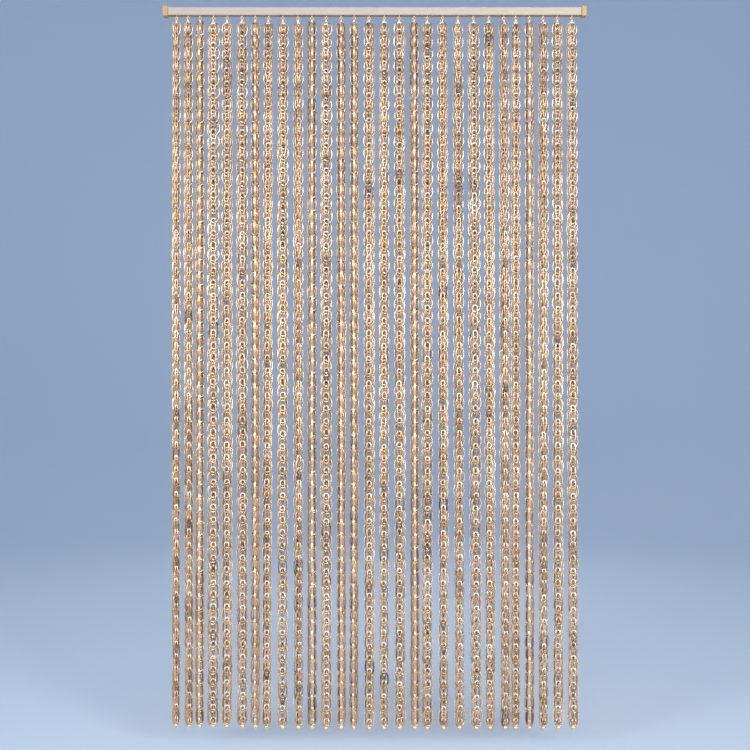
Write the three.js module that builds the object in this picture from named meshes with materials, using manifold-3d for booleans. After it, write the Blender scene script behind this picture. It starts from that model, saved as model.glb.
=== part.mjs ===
// Chain door curtain: metal chains hanging from a slotted wall rail with two end caps
// Millimetres, +Z up, front towards -Y; the origin is the middle of the rail's flat back
import * as THREE from 'three';
import { mergeVertices } from 'three/addons/utils/BufferGeometryUtils.js';
import Module from 'manifold-3d';

const wasm = await Module();
wasm.setup();

// Driving dimensions
const CLEAR = 0.3;
const RAIL = { length: 1172, height: 21.6, depth: 19, wall: 1.6, corner: 0.8 };
const SLOT = { width: 5, fromFront: 6 };
const CAP = { width: 13.7, above: 3.9, below: 3.6, front: 4, corner: 2.2, edge: 1.2, plug: 14 };
const CARRIER = { thickness: 3, endGap: 6 };
const HOOK = { width: 3.4, eyeWidth: 10, eyeTop: 1.2, eyeMiddle: 7, length: 12 };
const END = { width: 9, shoulder: 8 };
const BALL = { diameter: 14, across: 10, down: 6 };
const CHAIN = { reach: 2023.5, depth: 24 };

// One row for each chain, from left to right, in mm:
// x is its hook's place along the rail, lean is how far its foot hangs to the right of that,
// width is its size across, and short is how far its ball hangs above the lowest one
const CHAINS = [
  { x: -562, lean: -1, width: 24, short: 7 },
  { x: -529, lean: 3, width: 26, short: 5 },
  { x: -495, lean: -1, width: 26, short: 5 },
  { x: -457, lean: -1, width: 34, short: 5 },
  { x: -418, lean: -1, width: 30, short: 5 },
  { x: -376, lean: 1, width: 31, short: 5 },
  { x: -338, lean: 0, width: 27, short: 4 },
  { x: -301, lean: -5, width: 28, short: 3 },
  { x: -260, lean: -1, width: 31, short: 2 },
  { x: -217, lean: 1, width: 29, short: 2 },
  { x: -178, lean: 1, width: 27, short: 2 },
  { x: -137, lean: 0, width: 32, short: 0 },
  { x: -95, lean: 1, width: 26, short: 2 },
  { x: -58, lean: -1, width: 26, short: 1 },
  { x: -16, lean: 1, width: 31, short: 0 },
  { x: 27, lean: 0, width: 28, short: 1 },
  { x: 70, lean: 2, width: 31, short: 1 },
  { x: 112, lean: 3, width: 26, short: 1 },
  { x: 149, lean: 0, width: 31, short: 0 },
  { x: 192, lean: 4, width: 30, short: 1 },
  { x: 236, lean: 5, width: 31, short: 1 },
  { x: 280, lean: 8, width: 34, short: 0 },
  { x: 324, lean: 4, width: 30, short: 1 },
  { x: 366, lean: 5, width: 29, short: 1 },
  { x: 400, lean: 0, width: 26, short: 1 },
  { x: 439, lean: 0, width: 26, short: 1 },
  { x: 478, lean: 1, width: 29, short: 0 },
  { x: 518, lean: 3, width: 30, short: 1 },
  { x: 559, lean: 4, width: 29, short: 1 },
];

// Places worked out from the sizes
const middleY = -RAIL.depth / 2;
const slotY = -RAIL.depth + SLOT.fromFront;
const channelDepth = RAIL.depth - 2 * RAIL.wall;
const railBottom = -RAIL.height / 2;
const lipTop = railBottom + RAIL.wall;
const carrierBottom = lipTop + CLEAR;
const carrierMiddle = carrierBottom + CARRIER.thickness / 2;
const hookFoot = railBottom - HOOK.length;

// Finishes
const champagne = new THREE.MeshStandardMaterial({ color: 0xdccdb8, metalness: 0.9, roughness: 0.4 });
const gold = new THREE.MeshStandardMaterial({ color: 0xdcb078, metalness: 0.6, roughness: 0.4 });
const roseGold = new THREE.MeshStandardMaterial({ color: 0xd9a878, metalness: 1.0, roughness: 0.3 });

const group = new THREE.Group();

function addMesh(name, geometry, material) {
  const mesh = new THREE.Mesh(geometry, material);
  mesh.name = name;
  group.add(mesh);
  return mesh;
}

// Booleans

function toSolid(geometry) {
  const bare = geometry.clone();
  bare.deleteAttribute('normal');
  bare.deleteAttribute('uv');
  const merged = mergeVertices(bare, 1e-4);
  return new wasm.Manifold(new wasm.Mesh({
    numProp: 3,
    vertProperties: new Float32Array(merged.attributes.position.array),
    triVerts: new Uint32Array(merged.index.array),
  }));
}

function toGeometry(solid) {
  const mesh = solid.getMesh();
  const geometry = new THREE.BufferGeometry();
  geometry.setAttribute('position', new THREE.BufferAttribute(mesh.vertProperties, 3));
  geometry.setIndex(new THREE.BufferAttribute(mesh.triVerts, 1));
  geometry.computeVertexNormals();
  return geometry;
}

// Sections drawn as depth along Y and height along Z, then run along X

function runAlongX(shape, length, bevel = 0) {
  const geometry = new THREE.ExtrudeGeometry(shape, {
    depth: length - 2 * bevel,
    steps: 1,
    curveSegments: 4,
    bevelEnabled: bevel > 0,
    bevelThickness: bevel,
    bevelSize: bevel,
    bevelOffset: -bevel,
    bevelSegments: 2,
  });
  geometry.translate(0, 0, bevel - length / 2);
  const acrossToY = new THREE.Matrix4().makeBasis(
    new THREE.Vector3(0, 1, 0),
    new THREE.Vector3(0, 0, 1),
    new THREE.Vector3(1, 0, 0),
  );
  return geometry.applyMatrix4(acrossToY);
}

// Rail: a C-shaped section, open below along a slot between two lips

function railSection() {
  const back = 0;
  const front = -RAIL.depth;
  const top = RAIL.height / 2;
  const corner = RAIL.corner;
  const shape = new THREE.Shape();
  shape.moveTo(slotY + SLOT.width / 2, railBottom);
  shape.lineTo(back, railBottom);
  shape.lineTo(back, top);
  shape.lineTo(front + corner, top);
  shape.absarc(front + corner, top - corner, corner, Math.PI / 2, Math.PI, false);
  shape.lineTo(front, railBottom + corner);
  shape.absarc(front + corner, railBottom + corner, corner, Math.PI, 1.5 * Math.PI, false);
  shape.lineTo(slotY - SLOT.width / 2, railBottom);
  shape.lineTo(slotY - SLOT.width / 2, lipTop);
  shape.lineTo(front + RAIL.wall, lipTop);
  shape.lineTo(front + RAIL.wall, top - RAIL.wall);
  shape.lineTo(back - RAIL.wall, top - RAIL.wall);
  shape.lineTo(back - RAIL.wall, lipTop);
  shape.lineTo(slotY + SLOT.width / 2, lipTop);
  shape.closePath();
  return shape;
}

addMesh('rail', runAlongX(railSection(), RAIL.length), champagne);

// End caps: a rounded head that stands proud of the rail, and a plug inside its channel

function capSection() {
  const front = -RAIL.depth - CAP.front;
  const top = RAIL.height / 2 + CAP.above;
  const bottom = railBottom - CAP.below;
  const corner = CAP.corner;
  const shape = new THREE.Shape();
  shape.moveTo(0, bottom);
  shape.lineTo(0, top);
  shape.lineTo(front + corner, top);
  shape.absarc(front + corner, top - corner, corner, Math.PI / 2, Math.PI, false);
  shape.lineTo(front, bottom + corner);
  shape.absarc(front + corner, bottom + corner, corner, Math.PI, 1.5 * Math.PI, false);
  shape.closePath();
  return shape;
}

function capGeometry(inward) {
  const head = runAlongX(capSection(), CAP.width, CAP.edge);
  const plugReach = CAP.width / 2 + CLEAR + CAP.plug;
  const plugDepth = channelDepth - 2 * CLEAR;
  const plugHeight = RAIL.height - 2 * RAIL.wall - 2 * CLEAR;
  const plug = new THREE.BoxGeometry(plugReach, plugDepth, plugHeight);
  plug.translate(inward * plugReach / 2, middleY, 0);
  return toGeometry(toSolid(head).add(toSolid(plug)));
}

const capX = RAIL.length / 2 + CLEAR + CAP.width / 2;

addMesh('end_cap_left', capGeometry(1), gold).position.x = -capX;
addMesh('end_cap_right', capGeometry(-1), gold).position.x = capX;

// Chains: each hangs by its hook from a carrier strip that lies on the rail's two lips

function chainOutline(width, reach) {
  const neck = HOOK.width / 2;
  return [
    { z: carrierMiddle, half: neck },
    { z: railBottom - HOOK.eyeTop, half: neck },
    { z: railBottom - HOOK.eyeMiddle, half: HOOK.eyeWidth / 2 },
    { z: hookFoot, half: END.width / 2 },
    { z: hookFoot - END.shoulder, half: width / 2 },
    { z: -reach + END.shoulder, half: width / 2 },
    { z: -reach, half: END.width / 2 },
  ];
}

function chainGeometry(chain) {
  const outline = chainOutline(chain.width, CHAIN.reach - chain.short);
  const cornerRadius = Math.SQRT2;
  const first = outline[0];
  const last = outline[outline.length - 1];
  const profile = [
    new THREE.Vector2(0, last.z),
    ...outline.slice().reverse().map((ring) => new THREE.Vector2(ring.half * cornerRadius, ring.z)),
    new THREE.Vector2(0, first.z),
  ];
  const geometry = new THREE.LatheGeometry(profile, 4, Math.PI / 4);
  geometry.rotateX(Math.PI / 2);
  const place = geometry.attributes.position;
  const halfDepth = CHAIN.depth / 2;
  for (let i = 0; i < place.count; i += 1) {
    const drop = Math.max(0, hookFoot - place.getZ(i));
    place.setX(i, place.getX(i) + chain.lean * drop / CHAIN.reach);
    place.setY(i, THREE.MathUtils.clamp(place.getY(i), -halfDepth, halfDepth));
  }
  return geometry.translate(chain.x, slotY, 0);
}

function chainsOnCarrier() {
  const carrierLength = RAIL.length - 2 * (CAP.plug + CARRIER.endGap);
  const strip = new THREE.BoxGeometry(carrierLength, channelDepth - 2 * CLEAR, CARRIER.thickness);
  strip.translate(0, middleY, carrierMiddle);
  let solid = toSolid(strip);
  for (const chain of CHAINS) {
    solid = solid.add(toSolid(chainGeometry(chain)));
  }
  return toGeometry(solid);
}

addMesh('chain_strands', chainsOnCarrier(), roseGold);

// End balls: one under the last link of each chain

CHAINS.forEach((chain, index) => {
  const radius = BALL.diameter / 2;
  const reach = CHAIN.reach - chain.short;
  const ball = new THREE.SphereGeometry(radius, BALL.across, BALL.down);
  ball.rotateX(Math.PI / 2);
  const name = `end_ball_${String(index + 1).padStart(2, '0')}`;
  const mesh = addMesh(name, ball, gold);
  mesh.position.set(chain.x + chain.lean, slotY, -reach - CLEAR - radius);
});

export default group;
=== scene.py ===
# Looks of the chain door curtain: wire chains, hooks, balls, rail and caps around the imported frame
# Metres, +Z up, front towards -Y, the same frame as the solids
import math

import bpy
import numpy as np
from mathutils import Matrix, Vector


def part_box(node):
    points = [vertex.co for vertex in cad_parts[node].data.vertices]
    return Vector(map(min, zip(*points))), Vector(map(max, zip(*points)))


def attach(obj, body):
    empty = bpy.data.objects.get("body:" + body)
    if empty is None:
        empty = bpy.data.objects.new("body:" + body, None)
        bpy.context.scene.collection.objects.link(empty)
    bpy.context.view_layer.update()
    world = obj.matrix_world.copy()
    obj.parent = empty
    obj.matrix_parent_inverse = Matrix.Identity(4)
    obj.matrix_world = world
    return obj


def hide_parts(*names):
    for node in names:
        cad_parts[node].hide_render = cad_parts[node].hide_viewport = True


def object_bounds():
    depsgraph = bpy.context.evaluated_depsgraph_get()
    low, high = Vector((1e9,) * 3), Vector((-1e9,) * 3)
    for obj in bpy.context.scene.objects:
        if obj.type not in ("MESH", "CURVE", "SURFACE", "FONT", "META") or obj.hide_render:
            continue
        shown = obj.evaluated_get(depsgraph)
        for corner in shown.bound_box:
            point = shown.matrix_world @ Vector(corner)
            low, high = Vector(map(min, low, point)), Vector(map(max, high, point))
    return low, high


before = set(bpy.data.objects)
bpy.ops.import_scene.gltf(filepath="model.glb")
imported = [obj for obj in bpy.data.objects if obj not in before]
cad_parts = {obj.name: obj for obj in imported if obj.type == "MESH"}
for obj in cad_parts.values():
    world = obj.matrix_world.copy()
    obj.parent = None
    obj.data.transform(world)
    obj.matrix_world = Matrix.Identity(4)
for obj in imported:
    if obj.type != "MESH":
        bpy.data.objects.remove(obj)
cad_low, cad_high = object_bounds()

MM = 0.001
SEED = 29

# Links: each is a closed loop of wire folded in two, with its fold below and its two ears above
# The side links are seen broadside, and the front links, hooked through them, edge on
# PITCH is from link to link, and FRONT_PLACE is how far along it the front links start
# No link is deeper than HALF_DEPTH, and FRONT_REACH is half the distance between a front link's ears
PITCH = 35.6 * MM
WIRE_RADIUS = 1.85 * MM
SLIM_CHAIN_RADIUS = 2.2 * MM
WIRE_SIDES = 5
LINK_HEIGHT = 45.0 * MM
HALF_DEPTH = 12.0 * MM
FRONT_REACH = 9.6 * MM
FRONT_PLACE = 0.33
OVAL_FULLNESS = 0.85
BOXY_FULLNESS = 0.45
FOLD_NARROWING = 2.1 * WIRE_RADIUS
LEAST_FOLD = 0.6 * WIRE_RADIUS

# Right half of a link's outline, from its fold up to its ear: the angle round it, and how far the
# wire has spread from the fold's gap to the link's opening
EAR_TOP_DEGREES = 63.0
WIDEST_DEGREES = 20.0
OUTLINE = [
    {"degrees": -90.0, "spread": 0.0},
    {"degrees": -58.0, "spread": 0.0},
    {"degrees": -30.0, "spread": 0.45},
    {"degrees": -4.0, "spread": 0.95},
    {"degrees": WIDEST_DEGREES, "spread": 1.0},
    {"degrees": 42.0, "spread": 0.97},
    {"degrees": 56.0, "spread": 0.74},
    {"degrees": EAR_TOP_DEGREES, "spread": 0.0},
]

# Shaping of the links; a level is a height in a link, from 0 at its fold to 1, and each pair of
# levels or shares is where a change begins and where it is complete
FOLD_SPLIT = 4.2 * MM
SPLIT_LEVELS = (0.0, 0.55)
FRONT_TILT = -0.25
BACK_EAR_WIDTH = 0.5
BACK_EAR_SHARES = (0.0, 0.7)
BAR_THICKENING = 0.6
FOLD_BAR_LEVELS = (0.02, 0.22)
EAR_BAR_LEVELS = (0.82, 0.92)
END_DROOP = 6.5 * MM
DROOP_LEVELS = (0.0, 0.4)
DROOP_SHARES = (0.25, 0.75)
FOOT_ABOVE_BALL = 1.2 * MM
TOP_EAR_DROP = 6.4 * MM
TOP_FRONT_SHARE = 0.66

# How uneven the links are, one against another
UNEVEN_SIZE = 0.04
UNEVEN_TURN = 3.0
UNEVEN_SIDE = 0.35 * MM
UNEVEN_RISE = 1.3 * MM

# How pale each kind of link is, which paints light and shade on the wire: shade is the share left where
# it faces the chain's middle, a painted shade, base is for the rest, extra is added at its outer edges
# or its ears as a painted highlight, and uneven is for link against link; the closed front links' high
# base paints a highlight along their line, and near a side link's fold the wire is painted full pale as
# a highlight
# Below TONES each pair is where a change begins and where it is complete; SHADE_TURNS go from -1,
# which faces the chain's middle, to 1, which faces away from it
TONES = {
    "side": {"shade": 0.22, "base": 0.40, "extra": 0.60, "uneven": 0.12},
    "front": {"shade": 0.0, "base": 0.38, "extra": 0.62, "uneven": 0.12},
    "slim side": {"shade": 0.45, "base": 0.24, "extra": 0.24, "uneven": 0.05},
    "closed front": {"shade": 0.55, "base": 0.62, "extra": 0.0, "uneven": 0.05},
}
SHADE_TURNS = (-0.85, -0.1)
HIGHLIGHT_EAR_LEVELS = (0.78, 0.87)
HIGHLIGHT_EDGE_SHARES = (0.74, 0.95)
HIGHLIGHT_FOLD_LEVELS = (0.04, 0.12)

# Hooks and joining links; a drop is down to a part's middle, from the rail for the eye and from the
# hook's foot for the others
HOOK_LENGTH = 12.0 * MM
HOOK_INSIDE_RAIL = 4.0 * MM
HOOK_SHANK = 3.0 * MM
HOOK_SHOULDER = 0.8
HOOK_WIRE_RADIUS = 1.3 * MM
HOOK_NECK_RADIUS = 2.2 * MM
HOOK_EYE_RADIUS = 3.4 * MM
HOOK_EYE_DROP = 8.5 * MM
HOOK_TONE = 0.8
SHANK_SIDES = 10
EYE_SIDES = 8
OVAL_STEPS = 14
PIN_DROP = 3.2 * MM
PIN_HEIGHT = 8.5 * MM
PIN_HALF_DEPTH = 1.9 * MM
PIN_RADIUS = 2.5 * MM
PIN_TONE = 0.95
JOINING_DROP = 4.5 * MM
JOINING_HEIGHT = 13.0 * MM
JOINING_WIDTH = 7.8 * MM
JOINING_THINNING = 0.9
JOINING_SIDES = 6
JOINING_TONE = 0.35

# Balls: their shank's outline above the ball, from its neck up to the top of its head
BALL_RINGS = 12
BALL_STEPS = 24
BALL_SHANK_RADIUS = 1.8 * MM
BALL_SHANK = [
    {"thickness": 1.0, "height": 2.0 * MM},
    {"thickness": 1.5, "height": 2.6 * MM},
    {"thickness": 1.5, "height": 4.0 * MM},
    {"thickness": 0.0, "height": 4.6 * MM},
]

# Carrier strip
CARRIER_INSET = 1.9 * MM
CARRIER_THICKNESS = 3.0 * MM
CARRIER_HALF_LENGTH = 566.0 * MM

# One row for each chain, from left to right
# hook_x is its place on the rail, as in the solids, and width is its size across, in mm
# turn and face are how far its side and its front links are turned about the chain, in degrees,
# below 0 the other way round, and twist is how much that grows downwards
# open and front are half the openings of its side and its front links, in mm; in a slim chain, with
# front under CLOSED_FRONT, the front links are closed into one line of wire of that radius
CLOSED_FRONT = 3.0 * MM
CHAINS = [
    {"hook_x": -562, "width": 25, "turn": 24, "face": 6, "twist": 8, "open": 5.0, "front": 3.2},
    {"hook_x": -529, "width": 28, "turn": 24, "face": 8, "twist": 10, "open": 5.6, "front": 3.4},
    {"hook_x": -495, "width": 27, "turn": 25, "face": 2, "twist": -3, "open": 6.2, "front": 1.6},
    {"hook_x": -457, "width": 36, "turn": 17, "face": 2, "twist": 8, "open": 6.6, "front": 6.6},
    {"hook_x": -418, "width": 32, "turn": -18, "face": -4, "twist": 8, "open": 6.2, "front": 6.2},
    {"hook_x": -376, "width": 33, "turn": 22, "face": 6, "twist": 8, "open": 6.0, "front": 6.2},
    {"hook_x": -338, "width": 28, "turn": -26, "face": -4, "twist": -4, "open": 6.2, "front": 1.6},
    {"hook_x": -301, "width": 29, "turn": -20, "face": -4, "twist": 8, "open": 5.6, "front": 5.6},
    {"hook_x": -260, "width": 33, "turn": 22, "face": 10, "twist": -12, "open": 6.2, "front": 6.2},
    {"hook_x": -217, "width": 30, "turn": 28, "face": 16, "twist": 12, "open": 6.0, "front": 4.0},
    {"hook_x": -178, "width": 28, "turn": 24, "face": 2, "twist": 2, "open": 6.2, "front": 1.6},
    {"hook_x": -137, "width": 34, "turn": 17, "face": 0, "twist": 4, "open": 6.4, "front": 6.6},
    {"hook_x": -95, "width": 28, "turn": -25, "face": -3, "twist": 4, "open": 6.2, "front": 1.6},
    {"hook_x": -58, "width": 27, "turn": -26, "face": -2, "twist": -5, "open": 6.2, "front": 1.6},
    {"hook_x": -16, "width": 33, "turn": -22, "face": -10, "twist": 10, "open": 6.2, "front": 6.0},
    {"hook_x": 27, "width": 30, "turn": 18, "face": 4, "twist": -12, "open": 5.8, "front": 5.6},
    {"hook_x": 70, "width": 33, "turn": -16, "face": -6, "twist": -10, "open": 6.2, "front": 6.4},
    {"hook_x": 112, "width": 27, "turn": 24, "face": 2, "twist": -3, "open": 6.2, "front": 1.6},
    {"hook_x": 149, "width": 33, "turn": 17, "face": 1, "twist": 6, "open": 6.2, "front": 6.4},
    {"hook_x": 192, "width": 31, "turn": -28, "face": -16, "twist": 14, "open": 6.0, "front": 5.2},
    {"hook_x": 236, "width": 32, "turn": 26, "face": 3, "twist": 6, "open": 6.0, "front": 5.2},
    {"hook_x": 280, "width": 36, "turn": 18, "face": 4, "twist": 8, "open": 6.6, "front": 6.4},
    {"hook_x": 324, "width": 32, "turn": -24, "face": -12, "twist": -10, "open": 6.0, "front": 5.6},
    {"hook_x": 366, "width": 30, "turn": 28, "face": 16, "twist": -10, "open": 5.8, "front": 4.0},
    {"hook_x": 400, "width": 27, "turn": 18, "face": 2, "twist": -8, "open": 5.2, "front": 5.6},
    {"hook_x": 439, "width": 28, "turn": -25, "face": -3, "twist": -4, "open": 6.2, "front": 1.6},
    {"hook_x": 478, "width": 30, "turn": 24, "face": 14, "twist": -8, "open": 5.8, "front": 4.6},
    {"hook_x": 518, "width": 32, "turn": -18, "face": -6, "twist": -8, "open": 6.0, "front": 5.8},
    {"hook_x": 559, "width": 31, "turn": 18, "face": 3, "twist": -6, "open": 6.0, "front": 6.0},
]

# Finishes, and one painted shade: dark and light are the ends of the colour's change, rough is the range
# of its roughness, and stretch and scale are how its fine lines run and how fine they are
BRUSHED = {
    "champagne_rail": {
        "dark": (0.50, 0.42, 0.35),
        "light": (0.605, 0.515, 0.43),
        "metallic": 0.35,
        "rough": (0.34, 0.46),
        "stretch": (0.02, 1.0, 1.0),
        "scale": 900.0,
    },
    # The rail's underside is the same metal as the rail; this darker, warmer row paints shade and a warm
    # reflection on its faces that look down
    "rail_underside_painted_shade": {
        "dark": (0.54, 0.26, 0.09),
        "light": (0.58, 0.30, 0.115),
        "metallic": 0.0,
        "rough": (0.7, 0.8),
        "stretch": (0.02, 1.0, 1.0),
        "scale": 900.0,
    },
    "satin_gold_cap": {
        "dark": (0.53, 0.325, 0.145),
        "light": (0.62, 0.41, 0.195),
        "metallic": 0.35,
        "rough": (0.36, 0.48),
        "stretch": (1.0, 1.0, 1.0),
        "scale": 500.0,
    },
    "polished_gold_ball": {
        "dark": (0.95, 0.64, 0.37),
        "light": (0.98, 0.70, 0.43),
        "metallic": 0.75,
        "rough": (0.18, 0.26),
        "stretch": (1.0, 1.0, 1.0),
        "scale": 300.0,
    },
}
BRUSHED_CHANGE = (0.3, 0.7)
BRUSHED_DETAIL = 4.0
BRUSHED_BUMP = 0.15
UNDERSIDE_BAND = 0.5 * MM
UNDERSIDE_NORMAL_Z = -0.9

# Wire colour: it goes from dark at tone 0, a painted shade, through middle, the wire's own colour, to
# pale at tone 1, a painted highlight
WIRE_PAINTED_SHADE = (0.08, 0.045, 0.03)
WIRE_MIDDLE = (0.76, 0.455, 0.215)
WIRE_PALE = (1.0, 0.90, 0.73)
WIRE_MIDDLE_TONE = 0.42
WIRE_METALLIC = 0.6
WIRE_ROUGH = (0.20, 0.36)
WIRE_SCALE = 260.0
WIRE_DETAIL = 3.0
WIRE_BUMP = 0.12
BUMP_DISTANCE = 0.2 * MM

# Studio
FLOOR_DROP = 0.06
FLOOR_RADIUS = 7.0
FLOOR_COLOUR = (0.63, 0.73, 0.86)
FLOOR_ROUGH = 0.8
SWEEP_RADIUS = 3.0
SWEEP_TOP = 6.0
SWEEP_STEPS = 96
SWEEP_RINGS = 12
WORLD_COLOUR = (0.50, 0.57, 0.66)
WORLD_STRENGTH = 0.8
CAMERA_DISTANCE = 3.0
FOCAL_PIXELS = 1060.0
FRAME_PIXELS = 750.0
SENSOR = 36.0
CAMERA_X = 1.0 * MM
CAMERA_Z = -1030.4 * MM

# Lights aim at the curtain's middle, or below it by aim_drop; spread is their beam in degrees
LIGHTS = [
    {
        "name": "key_right",
        "place": (2.4, -3.4, -0.3),
        "aim_drop": 0.25,
        "size": (1.4, 1.9),
        "power": 53.0,
        "colour": (1.0, 0.95, 0.87),
        "spread": 120.0,
    },
    {
        "name": "fill_left",
        "place": (-2.8, -2.8, -0.35),
        "aim_drop": 0.25,
        "size": (1.2, 1.8),
        "power": 32.5,
        "colour": (1.0, 0.98, 0.96),
        "spread": 120.0,
    },
    {
        "name": "front_top",
        "place": (0.0, -4.4, 0.4),
        "aim_drop": 0.0,
        "size": (3.2, 1.4),
        "power": 47.0,
        "colour": (1.0, 0.98, 0.94),
        "spread": 180.0,
    },
    {
        "name": "back_rim",
        "place": (0.0, 2.8, 1.4),
        "aim_drop": 0.0,
        "size": (2.6, 1.6),
        "power": 32.0,
        "colour": (1.0, 0.98, 0.95),
        "spread": 180.0,
    },
]

# Places worked out from the frame
rail_low, rail_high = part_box("rail")
ball_boxes = [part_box(f"end_ball_{i + 1:02d}") for i in range(len(CHAINS))]
chain_y = (ball_boxes[0][0].y + ball_boxes[0][1].y) / 2
rail_bottom = rail_low.z
hook_foot = rail_bottom - HOOK_LENGTH
rng = np.random.default_rng(SEED)

# A direction that no wire starts along, so that a tube's first side can be taken across it
ASKEW = (0.31, 0.17, 0.94)


# Mesh helpers


def smooth_step(span, value):
    low, high = span
    t = np.clip((value - low) / (high - low), 0.0, 1.0)
    return t * t * (3 - 2 * t)


def new_object(name, verts, faces, smooth=True):
    mesh = bpy.data.meshes.new(name)
    mesh.from_pydata([tuple(v) for v in verts], [], [tuple(f) for f in faces])
    mesh.update()
    if smooth:
        mesh.polygons.foreach_set("use_smooth", [True] * len(mesh.polygons))
    obj = bpy.data.objects.new(name, mesh)
    bpy.context.scene.collection.objects.link(obj)
    return obj


def set_tone(obj, tone):
    attribute = obj.data.attributes.new("tone", "FLOAT", "POINT")
    attribute.data.foreach_set("value", tone)


def shifted(faces, base):
    return [tuple(v + base for v in face) for face in faces]


def ring_faces(rings, sides, closed):
    faces = []
    last = rings if closed else rings - 1
    for i in range(last):
        a = i * sides
        b = ((i + 1) % rings) * sides
        for k in range(sides):
            n = (k + 1) % sides
            faces.append((a + k, a + n, b + n, b + k))
    return faces


def close_twist(tangent, normals):
    """Spreads what the frame is turned by after one round evenly over the ring."""
    t = tangent[0]
    back = normals[-1] - t * np.dot(normals[-1], t)
    back /= np.linalg.norm(back)
    left = math.atan2(np.dot(np.cross(back, normals[0]), t), np.dot(back, normals[0]))
    closing = []
    for i, (n, t) in enumerate(zip(normals, tangent)):
        a = left * i / len(normals)
        closing.append(n * math.cos(a) + np.cross(t, n) * math.sin(a))
    return np.array(closing)


def tube(points, radius, sides, closed):
    """A round wire along the points; returns its vertices, faces and outward directions."""
    path = np.asarray(points, dtype=float)
    if closed:
        tangent = np.roll(path, -1, axis=0) - np.roll(path, 1, axis=0)
    else:
        tangent = np.gradient(path, axis=0)
    tangent /= np.linalg.norm(tangent, axis=1)[:, None]
    normal = np.cross(tangent[0], ASKEW)
    normal /= np.linalg.norm(normal)
    normals = [normal]
    for t in tangent[1:]:
        normal = normal - t * np.dot(normal, t)
        normal /= np.linalg.norm(normal)
        normals.append(normal)
    normals = np.array(normals)
    if closed:
        normals = close_twist(tangent, normals)
    side = np.cross(tangent, normals)
    angle = np.arange(sides) * 2 * math.pi / sides
    outward = (
        normals[:, None, :] * np.cos(angle)[None, :, None]
        + side[:, None, :] * np.sin(angle)[None, :, None]
    )
    radii = np.broadcast_to(np.asarray(radius, dtype=float), (len(path),))
    verts = path[:, None, :] + outward * radii[:, None, None]
    faces = ring_faces(len(path), sides, closed)
    if not closed:
        faces.append(tuple(range(sides - 1, -1, -1)))
        start = (len(path) - 1) * sides
        faces.append(tuple(range(start, start + sides)))
    return verts.reshape(-1, 3), faces, outward.reshape(-1, 3)


# Wire links


def folded_loop(reach, fold, half_open, fullness):
    """Centre line of one link, its ears at x = -reach and x = reach, its fold's middle at the origin."""
    degrees = np.array([point["degrees"] for point in OUTLINE])
    spread = np.array([point["spread"] for point in OUTLINE])
    angle = np.radians(degrees)
    x = reach * np.maximum(np.cos(angle), 0.0) ** fullness
    x[0] = 0.0
    below = fold + (half_open - fold) * spread
    y = np.where(degrees <= WIDEST_DEGREES, below, half_open * spread)
    z = LINK_HEIGHT / 2 * (1 + np.sin(angle))
    back_right = np.stack([x, y, z], axis=1)
    mirror_x = np.array([-1.0, 1.0, 1.0])
    mirror_y = np.array([1.0, -1.0, 1.0])
    front_right = (back_right * mirror_y)[:-1]
    back_left = (back_right * mirror_x)[1:]
    front_left = (front_right * mirror_x)[1:]
    return np.concatenate([front_right, back_right[::-1], back_left, front_left[::-1]])


def turned(points, degrees):
    angle = math.radians(degrees)
    x = points[:, 0] * math.cos(angle) - points[:, 1] * math.sin(angle)
    y = points[:, 0] * math.sin(angle) + points[:, 1] * math.cos(angle)
    return np.stack([x, y, points[:, 2]], axis=1)


def split_fold(loop):
    """Lets the back wire of a fold hang lower than the front one."""
    near_fold = 1 - smooth_step(SPLIT_LEVELS, loop[:, 2] / LINK_HEIGHT)
    moved = loop.copy()
    moved[:, 2] -= np.sign(loop[:, 1]) * FOLD_SPLIT * near_fold
    return moved


def tilted_front(loop, reach):
    """Lets the back ear hang lower and narrower than the front one, where it shows through it."""
    moved = loop.copy()
    moved[:, 0] *= 1 - (1 - BACK_EAR_WIDTH) * smooth_step(BACK_EAR_SHARES, loop[:, 1] / reach)
    moved[:, 2] += FRONT_TILT * loop[:, 1]
    return moved


def hung_beside_ball(loop):
    """Lets both sides of the last link hang down beside the ball."""
    across = np.abs(loop[:, 0])
    beside = smooth_step(DROOP_SHARES, across / across.max())
    near_fold = 1 - smooth_step(DROOP_LEVELS, loop[:, 2] / LINK_HEIGHT)
    moved = loop.copy()
    moved[:, 2] -= END_DROOP * beside * near_fold
    return moved


def side_reach(row, radius):
    """Half the distance between the ears of a chain's side links."""
    turn = math.radians(abs(row["turn"]))
    across = row["width"] * MM / 2 - radius
    return (across - row["open"] * MM * math.sin(turn)) / math.cos(turn)


def link_places(drop):
    """Foot height above the chain's foot and share of the full height, for side and front links."""
    top = LINK_HEIGHT * (1 + math.sin(math.radians(EAR_TOP_DEGREES))) / 2
    count = int(round((drop - top) / PITCH))
    pitch = (drop - top) / count
    side = [(i * pitch, 1.0) for i in range(count + 1)]
    front = [((i + FRONT_PLACE) * pitch, 1.0) for i in range(count)]
    front.insert(0, (0.0, (top - (1 - FRONT_PLACE) * pitch) / top))
    front.append(((count + FRONT_PLACE) * pitch, TOP_FRONT_SHARE))
    return side, front


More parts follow.
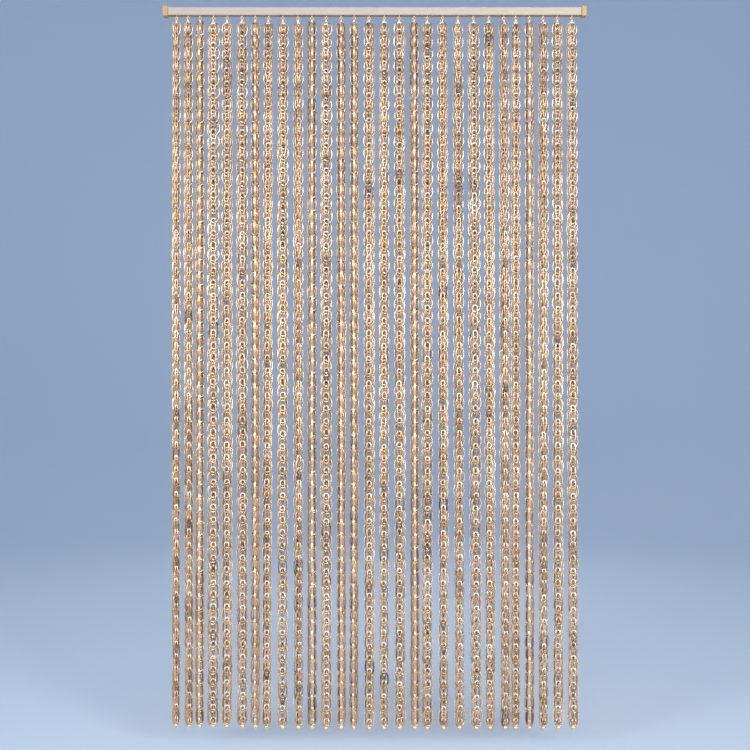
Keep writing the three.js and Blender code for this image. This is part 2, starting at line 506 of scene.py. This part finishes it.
def link_tone(verts, outward, level, half_width, kind):
    """How pale the wire is: dark where it faces the chain's middle, a painted shade, palest where it
    stands out, a painted highlight.
    """
    tones = TONES[kind]
    distance = np.hypot(verts[:, 0], verts[:, 1])
    away = (verts[:, 0] * outward[:, 0] + verts[:, 1] * outward[:, 1]) / np.maximum(distance, MM)
    # lit is painted shade; pale adds painted highlights to the wire's own tone and its random unevenness
    lit = tones["shade"] + (1 - tones["shade"]) * smooth_step(SHADE_TURNS, away)
    if kind in ("front", "closed front"):
        pale = tones["base"] + tones["extra"] * smooth_step(HIGHLIGHT_EAR_LEVELS, level)
    else:
        share = np.abs(verts[:, 0]) / half_width
        pale = tones["base"] + tones["extra"] * smooth_step(HIGHLIGHT_EDGE_SHARES, share)
        pale = np.maximum(pale, 1.0 - smooth_step(HIGHLIGHT_FOLD_LEVELS, level))
    return lit * (pale + rng.normal(0, tones["uneven"]))


def link_forms(row, closed):
    """Centre line, wire radius and level of a chain's side and front links, and of its last ones."""
    half_open = row["open"] * MM
    half_front = row["front"] * MM
    wire = SLIM_CHAIN_RADIUS if closed else WIRE_RADIUS
    reach = side_reach(row, wire)
    front_reach = min(reach, FRONT_REACH)
    side_fold = half_open - FOLD_NARROWING
    front_fold = max(half_front - FOLD_NARROWING, LEAST_FOLD)
    side = folded_loop(reach, side_fold, half_open, BOXY_FULLNESS if closed else OVAL_FULLNESS)
    last_side = folded_loop(reach, side_fold, half_open, BOXY_FULLNESS)
    front = turned(folded_loop(front_reach, front_fold, half_front, OVAL_FULLNESS), 90.0)
    side_level = side[:, 2] / LINK_HEIGHT
    front_level = front[:, 2] / LINK_HEIGHT
    side_radius = np.full(len(side), wire)
    front_radius = np.full(len(front), half_front if closed else wire)
    plain_front = (front, front_radius, front_level)
    last = ((hung_beside_ball(last_side), side_radius, side_level), plain_front)
    if closed:
        return ((split_fold(side), side_radius, side_level), plain_front), last
    fold_share = 1 - smooth_step(FOLD_BAR_LEVELS, side_level)
    ear_share = smooth_step(EAR_BAR_LEVELS, front_level)
    side_bar = side_radius * (1 + BAR_THICKENING * fold_share)
    front_bar = front_radius * (1 + BAR_THICKENING * ear_share)
    shaped = (
        (split_fold(side), side_bar, side_level),
        (tilted_front(front, front_reach), front_bar, front_level),
    )
    return shaped, last


def chain_mesh(row, foot_z, foot_x):
    """All links of one chain, its side links and then its front links, from its ball up."""
    closed = row["front"] * MM < CLOSED_FRONT
    kinds = ("slim side", "closed front") if closed else ("side", "front")
    angles = (row["turn"], row["face"])
    shaped, last = link_forms(row, closed)
    drop = hook_foot - TOP_EAR_DROP - WIRE_RADIUS - foot_z
    foot_lean = foot_x - row["hook_x"] * MM
    verts = []
    faces = []
    tone = []
    base = 0
    for i, places in enumerate(link_places(drop)):
        for rise, share in places:
            loop, radius, level = shaped[i] if rise > 0 else last[i]
            down = 1 - rise / drop
            size = 1 + rng.normal(0, UNEVEN_SIZE)
            turn = angles[i] + row["twist"] * down + rng.normal(0, UNEVEN_TURN)
            points = turned(loop * size, turn)
            depth = np.abs(points[:, 1]).max()
            points[:, 1] *= min(1.0, (HALF_DEPTH - radius.max()) / depth)
            points[:, 2] *= share
            link_verts, link_faces, outward = tube(points, radius, WIRE_SIDES, True)
            level = np.repeat(level, WIRE_SIDES)
            tone.append(link_tone(link_verts, outward, level, row["width"] * MM / 2, kinds[i]))
            x = row["hook_x"] * MM + foot_lean * down + rng.normal(0, UNEVEN_SIDE)
            z = foot_z + rise + (rng.normal(0, UNEVEN_RISE) if rise > 0 else 0.0)
            verts.append(link_verts + np.array([x, chain_y, z]))
            faces += shifted(link_faces, base)
            base += len(link_verts)
    return np.concatenate(verts), faces, np.clip(np.concatenate(tone), 0, 1)


def add_chain(index, row):
    ball_low, ball_high = ball_boxes[index]
    foot_x = (ball_low.x + ball_high.x) / 2
    verts, faces, tone = chain_mesh(row, ball_high.z + FOOT_ABOVE_BALL, foot_x)
    chain = new_object(f"chain_{index + 1:02d}", verts, faces)
    set_tone(chain, tone)
    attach(chain, "root")
    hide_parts("chain_strands")
    return chain


# Hooks, and the joining links between them and the first chain links


def oval(center, half_width, half_height, across):
    """Centre line of a standing oval, wide along X or, where across is 0, along Y."""
    points = []
    for k in range(OVAL_STEPS):
        a = 2 * math.pi * k / OVAL_STEPS
        side = half_width * math.cos(a)
        points.append((
            center[0] + side * across,
            center[1] + side * (1 - across),
            center[2] + half_height * math.sin(a),
        ))
    return points


def add_hook(index, row):
    """A thin shank out of the slot that widens towards a small ring."""
    x = row["hook_x"] * MM
    eye_z = rail_bottom - HOOK_EYE_DROP
    points = [
        (x, chain_y, rail_bottom + HOOK_INSIDE_RAIL),
        (x, chain_y, rail_bottom),
        (x, chain_y, rail_bottom - HOOK_SHANK),
        (x, chain_y, eye_z + HOOK_EYE_RADIUS),
    ]
    shoulder_radius = HOOK_SHOULDER * HOOK_NECK_RADIUS
    radii = [HOOK_WIRE_RADIUS, HOOK_WIRE_RADIUS, shoulder_radius, HOOK_NECK_RADIUS]
    stem_verts, stem_faces, _ = tube(points, radii, SHANK_SIDES, False)
    ring = oval((x, chain_y, eye_z), HOOK_EYE_RADIUS, HOOK_EYE_RADIUS, 1)
    ring_verts, eye_faces, _ = tube(ring, HOOK_WIRE_RADIUS, EYE_SIDES, True)
    base = len(stem_verts)
    verts = np.concatenate([stem_verts, ring_verts])
    hook = new_object(f"hook_{index + 1:02d}", verts, stem_faces + shifted(eye_faces, base))
    # The eye's ring is painted darker towards its inner side, as painted shade in its hole
    from_eye = np.hypot(ring_verts[:, 0] - x, ring_verts[:, 2] - eye_z)
    eye_painted_shade = smooth_step((HOOK_EYE_RADIUS - HOOK_WIRE_RADIUS, HOOK_EYE_RADIUS), from_eye)
    set_tone(hook, np.append(np.full(base, HOOK_TONE), HOOK_TONE * eye_painted_shade))
    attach(hook, "root")
    return hook


def add_joining_link(index, row):
    """A pale pin that hangs in the eye and a link round it that holds the first ears."""
    x = row["hook_x"] * MM
    pin = oval((x, chain_y, hook_foot - PIN_DROP), PIN_HALF_DEPTH, PIN_HEIGHT / 2, 0)
    pin_verts, pin_faces, _ = tube(pin, PIN_RADIUS, JOINING_SIDES, True)
    ring_middle = (x, chain_y, hook_foot - JOINING_DROP)
    ring = oval(ring_middle, JOINING_WIDTH / 2, JOINING_HEIGHT / 2, 1)
    ring_verts, link_faces, _ = tube(ring, WIRE_RADIUS * JOINING_THINNING, JOINING_SIDES, True)
    base = len(pin_verts)
    verts = np.concatenate([pin_verts, ring_verts])
    link = new_object(f"joining_link_{index + 1:02d}", verts, pin_faces + shifted(link_faces, base))
    set_tone(link, np.append(np.full(base, PIN_TONE), np.full(len(ring_verts), JOINING_TONE)))
    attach(link, "root")
    return link


# End balls: a turned ball with a short shank in the last link


def lathe(profile, steps):
    """A turned form about Z from (radius, height) points that start and end on the axis."""
    verts = [(0.0, 0.0, profile[0][1])]
    for radius, height in profile[1:-1]:
        for k in range(steps):
            a = 2 * math.pi * k / steps
            verts.append((radius * math.cos(a), radius * math.sin(a), height))
    verts.append((0.0, 0.0, profile[-1][1]))
    rings = len(profile) - 2
    faces = [(0, 1 + (k + 1) % steps, 1 + k) for k in range(steps)]
    faces += shifted(ring_faces(rings, steps, False), 1)
    last = 1 + (rings - 1) * steps
    faces += [(last + k, last + (k + 1) % steps, len(verts) - 1) for k in range(steps)]
    return verts, faces


def ball_profile(radius):
    profile = [(0.0, -radius)]
    for k in range(1, BALL_RINGS):
        a = -math.pi / 2 + math.pi * k / BALL_RINGS
        if radius * math.cos(a) < BALL_SHANK_RADIUS and a > 0:
            break
        profile.append((radius * math.cos(a), radius * math.sin(a)))
    for point in BALL_SHANK:
        profile.append((BALL_SHANK_RADIUS * point["thickness"], radius + point["height"]))
    return profile


def add_ball(index):
    low, high = ball_boxes[index]
    radius = (high.z - low.z) / 2
    verts, faces = lathe(ball_profile(radius), BALL_STEPS)
    ball = new_object(f"ball_{index + 1:02d}", verts, faces)
    ball.location = ((low.x + high.x) / 2, (low.y + high.y) / 2, (low.z + high.z) / 2)
    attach(ball, "root")
    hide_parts(f"end_ball_{index + 1:02d}")
    return ball


# Carrier strip inside the rail, as in the solids


def add_carrier():
    bottom = rail_low.z + CARRIER_INSET
    verts = [
        (x, y, z)
        for z in (bottom, bottom + CARRIER_THICKNESS)
        for y in (rail_low.y + CARRIER_INSET, rail_high.y - CARRIER_INSET)
        for x in (-CARRIER_HALF_LENGTH, CARRIER_HALF_LENGTH)
    ]
    faces = [(0, 2, 3, 1), (4, 5, 7, 6), (0, 1, 5, 4), (2, 6, 7, 3), (0, 4, 6, 2), (1, 3, 7, 5)]
    strip = new_object("carrier_strip", verts, faces, smooth=False)
    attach(strip, "root")
    return strip


# Materials


def shader(name):
    material = bpy.data.materials.new(name)
    material.use_nodes = True
    nodes = material.node_tree.nodes
    links = material.node_tree.links
    principled = nodes["Principled BSDF"]
    return material, nodes, links, principled


def roughen(nodes, links, principled, noise, rough, bump_strength):
    """Lets the noise change the roughness and raise a fine bump."""
    rough_range = nodes.new("ShaderNodeMapRange")
    rough_range.inputs["To Min"].default_value = rough[0]
    rough_range.inputs["To Max"].default_value = rough[1]
    links.new(noise.outputs["Fac"], rough_range.inputs["Value"])
    links.new(rough_range.outputs["Result"], principled.inputs["Roughness"])
    bump = nodes.new("ShaderNodeBump")
    bump.inputs["Strength"].default_value = bump_strength
    bump.inputs["Distance"].default_value = BUMP_DISTANCE
    links.new(noise.outputs["Fac"], bump.inputs["Height"])
    links.new(bump.outputs["Normal"], principled.inputs["Normal"])


def chain_material():
    """Polished wire whose colour follows its tone, which holds painted shade and painted highlights."""
    material, nodes, links, principled = shader("rose_gold_wire")
    principled.inputs["Metallic"].default_value = WIRE_METALLIC
    tone = nodes.new("ShaderNodeAttribute")
    tone.attribute_name = "tone"
    ramp = nodes.new("ShaderNodeValToRGB")
    colours = ramp.color_ramp.elements
    colours[0].color = (*WIRE_PAINTED_SHADE, 1)
    colours[1].color = (*WIRE_PALE, 1)
    colours.new(WIRE_MIDDLE_TONE).color = (*WIRE_MIDDLE, 1)
    links.new(tone.outputs["Fac"], ramp.inputs["Fac"])
    links.new(ramp.outputs["Color"], principled.inputs["Base Color"])
    place = nodes.new("ShaderNodeTexCoord")
    noise = nodes.new("ShaderNodeTexNoise")
    noise.inputs["Scale"].default_value = WIRE_SCALE
    noise.inputs["Detail"].default_value = WIRE_DETAIL
    links.new(place.outputs["Object"], noise.inputs["Vector"])
    roughen(nodes, links, principled, noise, WIRE_ROUGH, WIRE_BUMP)
    return material


def brushed_material(name):
    """Satin metal, or a painted shade, whose fine lines run along X where its row is stretched."""
    finish_or_painted_shade = BRUSHED[name]
    material, nodes, links, principled = shader(name)
    principled.inputs["Metallic"].default_value = finish_or_painted_shade["metallic"]
    place = nodes.new("ShaderNodeTexCoord")
    mapping = nodes.new("ShaderNodeMapping")
    mapping.inputs["Scale"].default_value = finish_or_painted_shade["stretch"]
    links.new(place.outputs["Object"], mapping.inputs["Vector"])
    noise = nodes.new("ShaderNodeTexNoise")
    noise.inputs["Scale"].default_value = finish_or_painted_shade["scale"]
    noise.inputs["Detail"].default_value = BRUSHED_DETAIL
    links.new(mapping.outputs["Vector"], noise.inputs["Vector"])
    ramp = nodes.new("ShaderNodeValToRGB")
    ramp.color_ramp.elements[0].position = BRUSHED_CHANGE[0]
    ramp.color_ramp.elements[0].color = (*finish_or_painted_shade["dark"], 1)
    ramp.color_ramp.elements[1].position = BRUSHED_CHANGE[1]
    ramp.color_ramp.elements[1].color = (*finish_or_painted_shade["light"], 1)
    links.new(noise.outputs["Fac"], ramp.inputs["Fac"])
    links.new(ramp.outputs["Color"], principled.inputs["Base Color"])
    roughen(nodes, links, principled, noise, finish_or_painted_shade["rough"], BRUSHED_BUMP)
    return material


def dress(obj, material):
    obj.data.materials.clear()
    obj.data.materials.append(material)


def dress_underside_painted_shade(obj, material):
    """Gives the faces that look down from the object's lowest level a material of their own, which
    paints shade on them.
    """
    obj.data.materials.append(material)
    lowest = min(v.co.z for v in obj.data.vertices)
    for face in obj.data.polygons:
        if face.normal.z < UNDERSIDE_NORMAL_Z and face.center.z < lowest + UNDERSIDE_BAND:
            face.material_index = 1


wire_gold = chain_material()
rail_finish = brushed_material("champagne_rail")
cap_finish = brushed_material("satin_gold_cap")
underside_painted_shade = brushed_material("rail_underside_painted_shade")
ball_finish = brushed_material("polished_gold_ball")

dress(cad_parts["rail"], rail_finish)
dress_underside_painted_shade(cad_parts["rail"], underside_painted_shade)
for cap in ("end_cap_left", "end_cap_right"):
    dress(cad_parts[cap], cap_finish)
dress(add_carrier(), rail_finish)
for number, chain_row in enumerate(CHAINS):
    dress(add_chain(number, chain_row), wire_gold)
    dress(add_hook(number, chain_row), wire_gold)
    dress(add_joining_link(number, chain_row), wire_gold)
    dress(add_ball(number), ball_finish)


# Floor, light and camera


def add_floor():
    """A round studio floor whose far edge sweeps up on every side."""
    z = cad_low.z - FLOOR_DROP
    flat = FLOOR_RADIUS - SWEEP_RADIUS
    profile = [(flat, z)]
    for k in range(1, SWEEP_RINGS + 1):
        a = math.pi / 2 * k / SWEEP_RINGS
        profile.append((flat + SWEEP_RADIUS * math.sin(a), z + SWEEP_RADIUS * (1 - math.cos(a))))
    profile.append((FLOOR_RADIUS, SWEEP_TOP))
    verts = [(0.0, 0.0, z)]
    for radius, height in profile:
        for k in range(SWEEP_STEPS):
            a = 2 * math.pi * k / SWEEP_STEPS
            verts.append((radius * math.cos(a), radius * math.sin(a), height))
    faces = [(0, 1 + k, 1 + (k + 1) % SWEEP_STEPS) for k in range(SWEEP_STEPS)]
    for i in range(len(profile) - 1):
        a = 1 + i * SWEEP_STEPS
        b = a + SWEEP_STEPS
        for k in range(SWEEP_STEPS):
            n = (k + 1) % SWEEP_STEPS
            faces.append((a + k, b + k, b + n, a + n))
    floor = new_object("studio_floor", verts, faces)
    material, _, _, principled = shader("pale_floor")
    principled.inputs["Base Color"].default_value = (*FLOOR_COLOUR, 1)
    principled.inputs["Roughness"].default_value = FLOOR_ROUGH
    dress(floor, material)


def add_light(row):
    light = bpy.data.lights.new(row["name"], "AREA")
    light.shape = "RECTANGLE"
    light.size, light.size_y = row["size"]
    light.energy = row["power"]
    light.spread = math.radians(row["spread"])
    light.color = row["colour"]
    obj = bpy.data.objects.new(row["name"], light)
    obj.location = row["place"]
    aim = Vector((0.0, 0.0, CAMERA_Z - row["aim_drop"])) - Vector(row["place"])
    obj.rotation_euler = aim.to_track_quat("-Z", "Y").to_euler()
    obj.visible_camera = False
    bpy.context.scene.collection.objects.link(obj)


def add_world():
    world = bpy.data.worlds.new("studio")
    world.use_nodes = True
    background = world.node_tree.nodes["Background"]
    background.inputs["Color"].default_value = (*WORLD_COLOUR, 1)
    background.inputs["Strength"].default_value = WORLD_STRENGTH
    bpy.context.scene.world = world


def add_camera():
    data = bpy.data.cameras.new("camera")
    data.sensor_width = SENSOR
    data.lens = SENSOR * FOCAL_PIXELS / FRAME_PIXELS
    camera = bpy.data.objects.new("camera", data)
    camera.location = (CAMERA_X, rail_low.y - CAMERA_DISTANCE, CAMERA_Z)
    camera.rotation_euler = (math.pi / 2, 0, 0)
    bpy.context.scene.collection.objects.link(camera)
    bpy.context.scene.camera = camera
    bpy.context.scene.view_settings.view_transform = "Standard"


add_floor()
for light_row in LIGHTS:
    add_light(light_row)
add_world()
add_camera()

bpy.context.view_layer.update()
